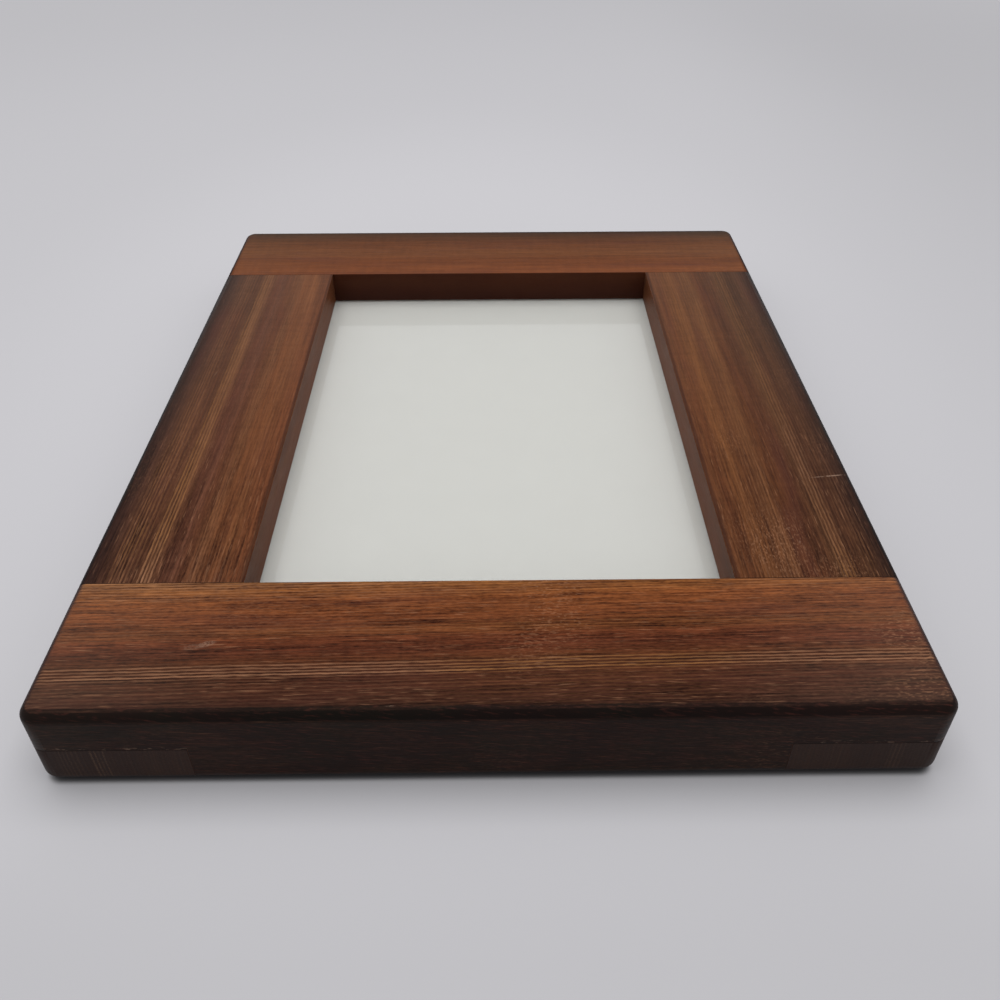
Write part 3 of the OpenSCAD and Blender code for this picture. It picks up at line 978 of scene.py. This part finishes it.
def screw_pattern(parts, head, recess_z):
    """A screw on the Z axis, driven towards +Z: a threaded shaft under a turned head."""
    around, blunt, groove_depth = 32, 0.08, 0.28
    low, step = head[-1][0], parts.pitch / 8
    heights = [low + i * step for i in range(1, int((parts.screw - low) / step) + 1)]
    shaft = [(z, parts.shank * max(min(1.0, (parts.screw - z) / parts.point), blunt))
             for z in heights]

    def point(z, radius, i):
        """Point i of the ring at height z, with the groove that winds round the shaft."""
        phase = ((z - low) / parts.pitch - i / around) % 1.0
        groove = groove_depth * abs(2 * phase - 1) if z > low + parts.pitch / 2 else 0.0
        turn, r = 2 * math.pi * i / around, radius * (1 - groove)
        return (r * math.cos(turn), r * math.sin(turn), z)

    bm = bmesh.new()
    skin(bm, [[point(z, radius, i) for i in range(around)] for z, radius in head + shaft])
    made = cut(from_bmesh("screw_pattern", bm),
               [arm_cutter(turn, recess_z) for turn in (0.0, QUARTER)])
    for polygon in made.data.polygons:
        polygon.use_smooth = True
    made.data.set_sharp_from_angle(angle=math.radians(40))
    return made


def arm_cutter(turn, face_z):
    """One tapering arm of a cross recess that opens at the height face_z."""
    half_l, half_w, depth = 1.6 * MM, 0.35 * MM, 1.0 * MM
    mouth = [(-half_l, -half_w), (half_l, -half_w), (half_l, half_w), (-half_l, half_w)]
    bm = bmesh.new()
    skin(bm, [[(x * share, y * share, face_z + z) for x, y in mouth]
              for share, z in ((1.15, -0.3 * MM), (1.0, 0.0), (0.5, depth))])
    bmesh.ops.rotate(bm, verts=bm.verts, matrix=Matrix.Rotation(turn, 3, "Z"))
    return from_bmesh("cutter", bm)


def round_head(parts):
    """Profile of a round head, as (height, radius) from its crown to its underside."""
    dome_r = (parts.head ** 2 + parts.dome ** 2) / (2 * parts.dome)
    widest = math.asin(parts.head / dome_r)
    crown = [(dome_r - parts.dome - dome_r * math.cos(widest * i / 10),
              dome_r * math.sin(widest * i / 10)) for i in range(1, 10)]
    rim = [(-0.1 * MM, parts.head - 0.03 * MM), (0.0, parts.head - 0.12 * MM)]
    return crown + rim + [(0.0, parts.shank)]


def sunk_head(parts):
    """Profile of a countersunk head, as (height, radius) from its face to its neck."""
    lip = 0.12 * MM
    return [(0.0, parts.head - 2 * lip), (lip / 2, parts.head - lip / 2),
            (2 * lip, parts.head - 2 * lip), (parts.head - parts.shank, parts.shank)]


def pivot_of(corner):
    """The point under a screw's head that a turn button pivots on."""
    return (PIVOT.x if corner.endswith("right") else -PIVOT.x,
            PIVOT.y if corner.startswith("top") else -PIVOT.y, BUTTON_LOW.z)


class FRAME_OT_screws(bpy.types.Operator):
    """Makes the screws of the turn buttons and of the hanger"""

    bl_idname = "picture_frame.screws"
    bl_label = "Screws"

    def execute(self, context):
        parts = context.scene.hardware_sizes
        zinc = zinc_material(context.scene.frame_colours)
        pattern = screw_pattern(parts, round_head(parts), -parts.dome)
        place_copies(pattern, zinc, [
            ("button_screw_" + corner, BODY, pivot_of(corner), turn)
            for corner, turn in zip(CORNERS, (0.4, 1.1, 0.1, 0.8))])
        pattern = screw_pattern(parts, sunk_head(parts), 0.0)
        place_copies(pattern, zinc, [
            ("hanger_screw_" + word, BODY, (x, PLATE_Y, PLATE_LOW.z), turn)
            for word, x, turn in (("left", -parts.spacing / 2, 0.3),
                                  ("right", parts.spacing / 2, 1.2))])
        return {"FINISHED"}


def button_pattern(parts):
    """A turn button with its pivot on the Z axis and its tip towards +X."""
    tip_x = parts.reach - parts.tip
    lean = math.acos((parts.hub - parts.tip) / tip_x)
    outline = (arc((0.0, 0.0), parts.hub, lean, 2 * math.pi - lean, 40)
               + arc((tip_x, 0.0), parts.tip, -lean, lean, 24))
    thickness = BUTTON_HIGH.z - BUTTON_LOW.z
    made = prism_object("button_pattern", outline, 0.0, thickness)
    hole = parts.shank + parts.pivot_gap
    cut(made, [cone_object((0.0, 0.0), hole, hole, -MM, thickness + MM, 40)])
    return soften(made, parts.round_over, segments=3)


class FRAME_OT_turn_buttons(bpy.types.Operator):
    """Makes the four turn buttons that hold the backing board"""

    bl_idname = "picture_frame.turn_buttons"
    bl_label = "Turn buttons"

    def execute(self, context):
        pattern = button_pattern(context.scene.hardware_sizes)
        place_copies(pattern, bpy.data.materials["zinc_steel"], [
            ("turn_button_" + corner, "button_" + corner, pivot_of(corner),
             math.pi if corner.endswith("right") else 0.0) for corner in CORNERS])
        return {"FINISHED"}


class FRAME_OT_hanger(bpy.types.Operator):
    """Makes the keyhole plate that the frame hangs on"""

    bl_idname = "picture_frame.hanger"
    bl_label = "Hanger"

    def execute(self, context):
        parts = context.scene.hardware_sizes
        made = prism_object("keyhole_plate", stadium(0.0), PLATE_LOW.z, PLATE_HIGH.z)
        low, bite = keyhole_y(parts), math.asin(parts.slot / parts.entry)
        outline = (arc((0.0, low), parts.entry, QUARTER + bite, 5 * QUARTER - bite, 48)
                   + arc((0.0, low + parts.slot_l), parts.slot, 0.0, math.pi, 20))
        cutters = [prism_object("cutter", outline, -MM, PLATE_HIGH.z + MM)]
        sink, past = parts.head - parts.shank, 0.2 * MM
        hole, wide = parts.shank + parts.hole_gap, parts.head + parts.hole_gap
        for x in (-parts.spacing / 2, parts.spacing / 2):
            spot = (x, PLATE_Y)
            cutters.append(cone_object(spot, hole, hole, -MM, PLATE_HIGH.z + MM, 48))
            cutters.append(cone_object(spot, wide + past, hole, PLATE_LOW.z - past,
                                       PLATE_LOW.z + sink, 48))
        soften(cut(made, cutters), parts.plate_ease, segments=3, sharp=50.0)
        dress(made, bpy.data.materials["zinc_steel"], BODY, "zinc_steel", "hanger_plate")
        return {"FINISHED"}


def floor_material(colours, sizes, stage):
    """Pale floor with a painted contact shadow round the frame, that meets the backdrop's colour
    far out.

    A painted pool of light lies round the frame in the floor's colour and falls off to the right
    and the front.
    The floor is open from below, and under the frame also to the lamp below it.
    """
    made, wires, shader = new_material("pale_floor")
    made.node_tree.nodes.remove(shader)
    spot = wires.spot()
    middle = (sizes.width / 2 - sizes.corner, sizes.height / 2 - sizes.corner, 1.0)
    past = wires.vector("SUBTRACT", wires.vector("ABSOLUTE", spot), middle)
    past = wires.vector("MAXIMUM", past, (0.0, 0.0, 0.0))
    outside = wires.distance(past) - sizes.corner
    narrowed, oval_middle = (1.6, 1.0, 1.0), (-0.032, 0.07, 0.0)
    painted_pool = wires.distance(wires.place(narrowed), oval_middle)
    to_right, to_back, _ = wires.split(spot)
    # Painted light in the floor's colour: the pool, its fall-off to the right and the front, and a
    # painted contact shadow at the frame's outline
    light = (painted_pool.smooth(0.14, 0.34, 1.0, 0.94)
             * to_right.smooth(0.1, 0.3, 1.0, 0.9)
             * to_back.smooth(-0.17, -0.125, 0.92, 1.0)
             * outside.smooth(-1.7 * MM, 0.6 * MM, 0.18, 1.0))
    matt = wires.node("ShaderNodeBsdfDiffuse", {"Color": wires.scale((*colours.floor,), light)})
    glow = wires.node("ShaderNodeEmission", {
        "Color": (*colours.floor, 1.0), "Strength": stage.backdrop})
    path = wires.node("ShaderNodeLightPath").outputs
    seen = wires.largest(path["Is Camera Ray"], path["Is Glossy Ray"])
    far = wires.distance(spot).smooth(0.45, 1.1) * seen
    top = wires.blend(far, matt.outputs[0], glow.outputs[0])
    covered = outside.smooth(-sizes.corner, MM - sizes.corner, 1.0, 0.0)
    below = wires.node("ShaderNodeNewGeometry").outputs["Backfacing"]
    open_below = wires.largest(below, covered * path["Is Shadow Ray"])
    clear = wires.node("ShaderNodeBsdfTransparent")
    cover(wires, wires.blend(open_below, top, clear.outputs[0]))
    return made


def set_world(colours, stage):
    """Soft light from all round, and the pale backdrop that the camera and gloss see."""
    world = bpy.data.worlds.new("backdrop")
    bpy.context.scene.world = world
    world.use_nodes = True
    world.node_tree.nodes.clear()
    wires = Wiring(world.node_tree)
    up = wires.split(wires.node("ShaderNodeTexCoord").outputs["Generated"])[2]
    light = wires.node("ShaderNodeBackground", {
        "Color": (1.0, 1.0, 1.0, 1.0),
        "Strength": abs(up).smooth(0.0, 0.5, stage.horizon, stage.sky)})
    shown = wires.node("ShaderNodeBackground", {
        "Color": (*colours.floor, 1.0), "Strength": stage.backdrop})
    path = wires.node("ShaderNodeLightPath").outputs
    seen = wires.largest(path["Is Camera Ray"], path["Is Glossy Ray"],
                         path["Is Transmission Ray"])
    mixed = wires.blend(seen, light.outputs[0], shown.outputs[0])
    wires.node("ShaderNodeOutputWorld", {0: mixed})


# Each lamp's place, its width and depth, and the spread of its light in degrees
KEY_LAMP = ((0.0, 0.06, 1.32), (1.3, 1.1), 180.0)
UNDER_LAMP = ((0.0, 0.0, -1.2), (0.9, 0.9), 30.0)


def add_lamp(name, power, place, size, spread):
    """A soft rectangular lamp that faces the frame's middle, hidden from the camera."""
    data = bpy.data.lights.new(name, "AREA")
    data.shape = "RECTANGLE"
    data.size, data.size_y = size
    data.energy = power
    data.spread = math.radians(spread)
    made = link(name, data)
    made.location = place
    made.rotation_euler = (-Vector(place)).to_track_quat("-Z", "Y").to_euler()
    made.visible_camera = False
    return made


def add_camera(stage):
    """The camera, where the photograph was taken from."""
    data = bpy.data.cameras.new("camera")
    data.sensor_width = 36.0
    data.lens = stage.lens
    data.clip_start = 10 * MM
    data.clip_end = 50.0
    made = link("camera", data)
    ahead = Vector((math.sin(stage.yaw) * math.cos(stage.pitch),
                    math.cos(stage.yaw) * math.cos(stage.pitch), -math.sin(stage.pitch)))
    level = Vector((math.cos(stage.yaw), -math.sin(stage.yaw), 0.0))
    upper = level.cross(ahead)
    right = math.cos(stage.roll) * level + math.sin(stage.roll) * upper
    upper = math.cos(stage.roll) * upper - math.sin(stage.roll) * level
    axes = Matrix((right, upper, -ahead)).transposed().to_4x4()
    place = Matrix.Translation((stage.camera_x, stage.camera_y, stage.camera_z))
    made.matrix_world = place @ axes
    bpy.context.scene.camera = made


class FRAME_OT_stage(bpy.types.Operator):
    """Makes the floor, the backdrop, the lamps and the camera"""

    bl_idname = "picture_frame.stage"
    bl_label = "Stage"

    def execute(self, context):
        stage, colours = context.scene.stage_sizes, context.scene.frame_colours
        bm = bmesh.new()
        bmesh.ops.create_circle(bm, cap_ends=True, segments=96, radius=FLOOR_RADIUS)
        bmesh.ops.translate(bm, verts=bm.verts, vec=(0.0, 0.0, -FLOOR_DROP))
        floor = from_bmesh("floor", bm)
        if floor.data.polygons[0].normal.z < 0:
            floor.data.flip_normals()
        floor.data.materials.append(floor_material(colours, context.scene.frame_sizes, stage))
        floor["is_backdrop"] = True
        set_world(colours, stage)
        add_lamp("key_lamp", stage.key, *KEY_LAMP).visible_glossy = False
        add_lamp("under_lamp", stage.under, *UNDER_LAMP)
        add_camera(stage)
        context.scene.view_settings.view_transform = "Standard"
        return {"FINISHED"}


STEPS = (FRAME_OT_stage, FRAME_OT_boards, FRAME_OT_sheets, FRAME_OT_screws,
         FRAME_OT_turn_buttons, FRAME_OT_hanger)


class FRAME_PT_panel(bpy.types.Panel):
    """Sizes, colours and steps of the picture frame"""

    bl_idname = "FRAME_PT_panel"
    bl_label = "Picture frame"
    bl_space_type = "VIEW_3D"
    bl_region_type = "UI"
    bl_category = "Picture frame"

    def draw(self, context):
        for step in STEPS:
            self.layout.operator(step.bl_idname)
        for name, group in GROUPS.items():
            column = self.layout.column(heading=name.replace("_", " "))
            for key in group.__annotations__:
                column.prop(getattr(context.scene, name), key)


GROUPS = {"frame_sizes": FrameSizes, "hardware_sizes": HardwareSizes,
          "frame_colours": FrameColours, "stage_sizes": StageSizes}
CLASSES = (*GROUPS.values(), *STEPS, FRAME_PT_panel)


def register():
    """Adds the classes and the scene's settings to Blender."""
    for item in CLASSES:
        bpy.utils.register_class(item)
    for name, group in GROUPS.items():
        setattr(bpy.types.Scene, name, bpy.props.PointerProperty(type=group))


def unregister():
    """Takes the classes and the scene's settings out of Blender."""
    for name in GROUPS:
        delattr(bpy.types.Scene, name)
    for item in reversed(CLASSES):
        bpy.utils.unregister_class(item)


def main():
    register()
    for step in STEPS:
        group, name = step.bl_idname.split(".")
        getattr(getattr(bpy.ops, group), name)()
    boxes = [[list(corner) for corner in box] for box in (CAD_BOX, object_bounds())]


if __name__ == "__main__":
    main()
